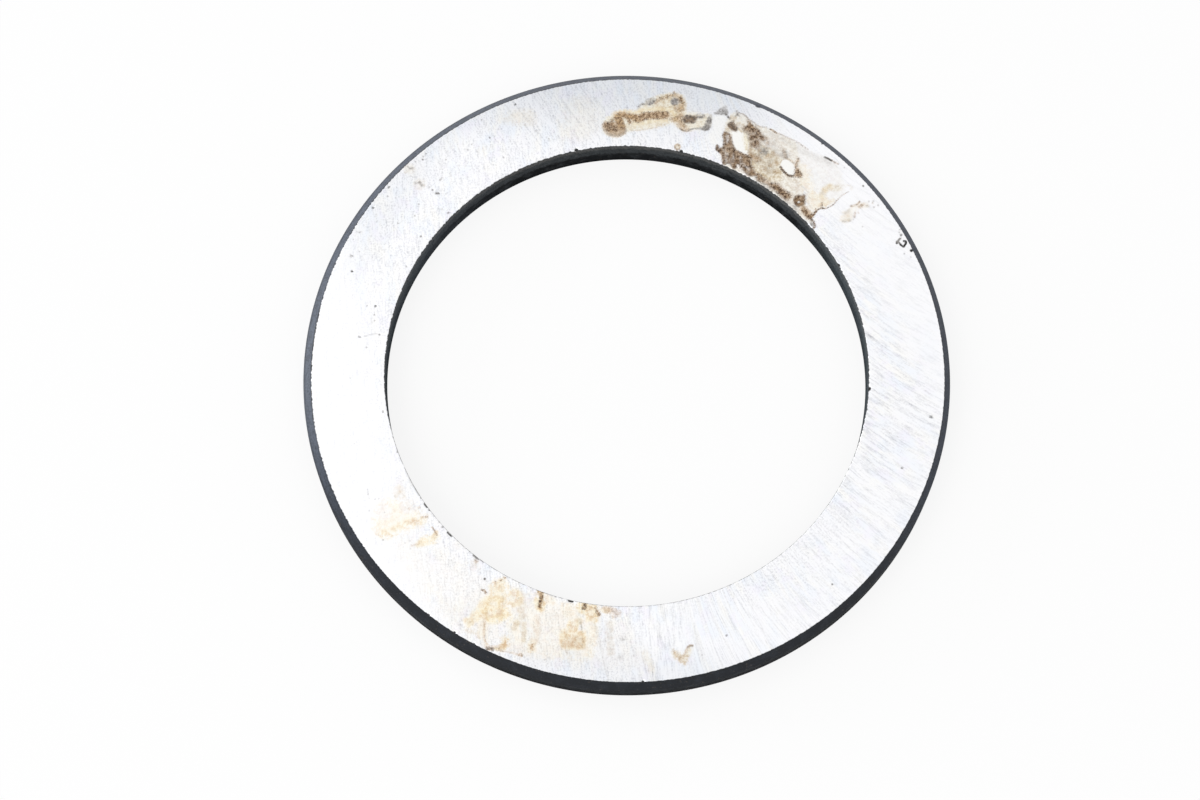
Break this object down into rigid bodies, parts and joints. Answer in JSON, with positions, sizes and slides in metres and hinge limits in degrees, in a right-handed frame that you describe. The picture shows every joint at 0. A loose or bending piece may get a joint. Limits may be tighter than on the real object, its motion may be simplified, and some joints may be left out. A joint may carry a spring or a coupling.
{
  "type": "differential shim",
  "caption": "Flat ground steel shim ring with a black chamfered rim, which sets the bearing preload and backlash of a differential.",
  "frame": {"origin": "centre of the ring's lower ground face, on the bore axis", "axes": "+Z along the bore axis, towards the upper ground face; +X towards the side where the upper chamfer is narrowest"},
  "size_m": [0.09, 0.09, 0.005],
  "materials": {
    "ring_steel": "ground bright faces with old rust stains; rim, chamfers and bore left black from hardening"
  },
  "bodies": {
    "root": {"shim_ring": "ring_steel"}
  },
  "joints": []
}
